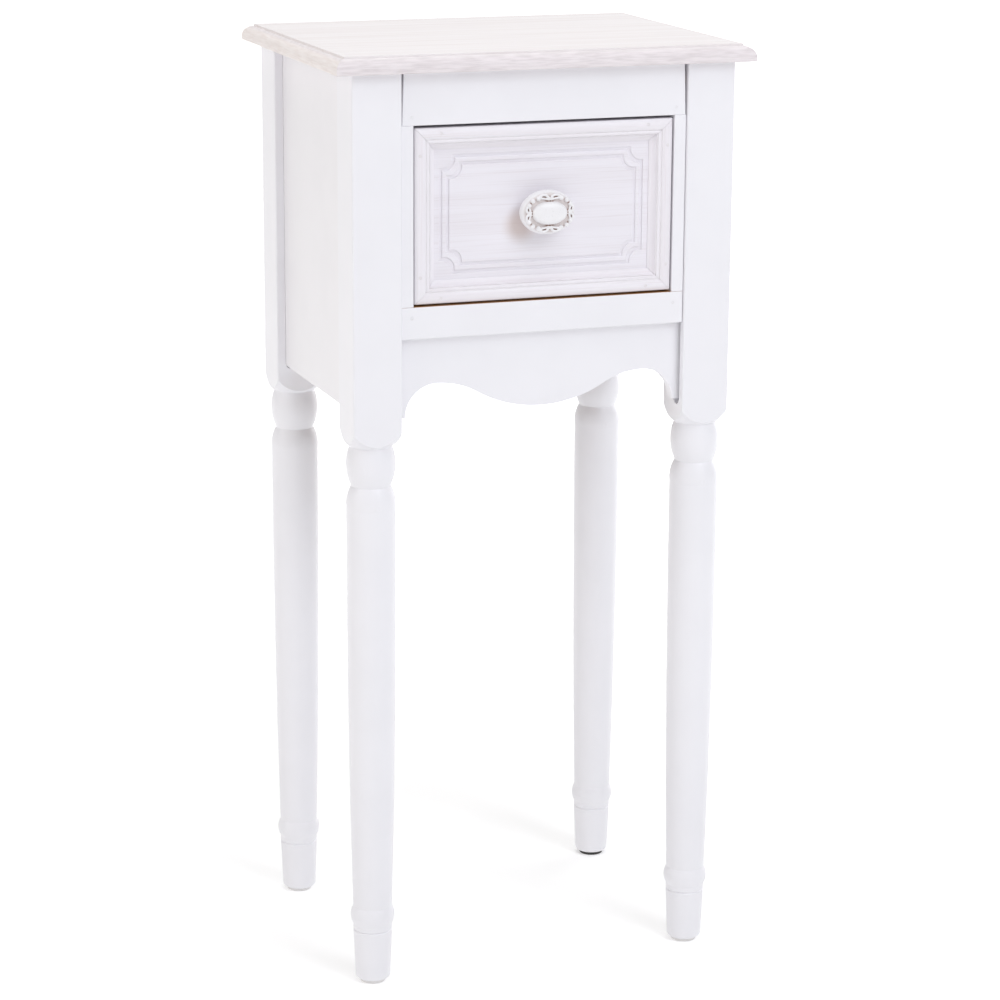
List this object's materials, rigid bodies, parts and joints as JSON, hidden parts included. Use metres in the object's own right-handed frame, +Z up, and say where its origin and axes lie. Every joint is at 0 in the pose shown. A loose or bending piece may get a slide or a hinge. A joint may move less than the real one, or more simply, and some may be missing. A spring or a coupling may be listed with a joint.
{
  "type": "nightstand",
  "caption": "Tall slim white nightstand with a panelled drawer, an oval scroll knob, a scalloped apron, turned legs and a limed wood top and drawer front.",
  "frame": {"origin": "on the floor, below the centre of the box round the whole piece with the drawer shut", "axes": "+Z up, +X to the right of someone facing the drawer, +Y from the drawer to the back"},
  "size_m": [0.328, 0.2608, 0.72],
  "materials": {
    "white_paint": "satin white paint",
    "limed_wood": "limed, matt lacquer",
    "raw_wood": "planed, unfinished",
    "hardboard": "smooth hardboard",
    "knob_paint": "white paint with brown patina in the hollows",
    "steel": "bright zinc",
    "glide_plastic": "matt"
  },
  "bodies": {
    "carcass": {"top_board": "limed_wood", "front_left_leg": "white_paint", "front_right_leg": "white_paint", "rear_left_leg": "white_paint", "rear_right_leg": "white_paint", "front_left_foot_glide": "glide_plastic", "front_right_foot_glide": "glide_plastic", "rear_left_foot_glide": "glide_plastic", "rear_right_foot_glide": "glide_plastic", "left_side_panel": "white_paint", "right_side_panel": "white_paint", "back_panel": "white_paint", "front_top_rail": "white_paint", "front_bottom_rail": "white_paint", "front_left_stile": "white_paint", "front_right_stile": "white_paint", "front_apron": "white_paint", "left_drawer_runner": "raw_wood", "right_drawer_runner": "raw_wood", "left_drawer_guide": "raw_wood", "right_drawer_guide": "raw_wood", "left_kicker": "raw_wood", "right_kicker": "raw_wood", "left_drawer_stop": "raw_wood", "right_drawer_stop": "raw_wood", "rail_dowels": "raw_wood", "glide_nails": "steel", "top_screws": "steel", "runner_screws": "steel", "kicker_screws": "steel", "rail_brads": "steel", "guide_brads": "steel"},
    "drawer": {"drawer_front_panel": "limed_wood", "drawer_moulding_top": "limed_wood", "drawer_moulding_bottom": "limed_wood", "drawer_moulding_left": "limed_wood", "drawer_moulding_right": "limed_wood", "drawer_left_side": "raw_wood", "drawer_right_side": "raw_wood", "drawer_back": "raw_wood", "drawer_bottom": "hardboard", "drawer_knob": "knob_paint", "moulding_brads": "steel", "drawer_back_brads": "steel", "drawer_bottom_pins": "steel", "knob_screw": "steel", "knob_washer": "steel"}
  },
  "joints": [
    {"name": "drawer_slide", "type": "slide", "parent": "carcass", "child": "drawer", "axis": [0, -1, 0], "range_m": [0, 0.15]}
  ]
}
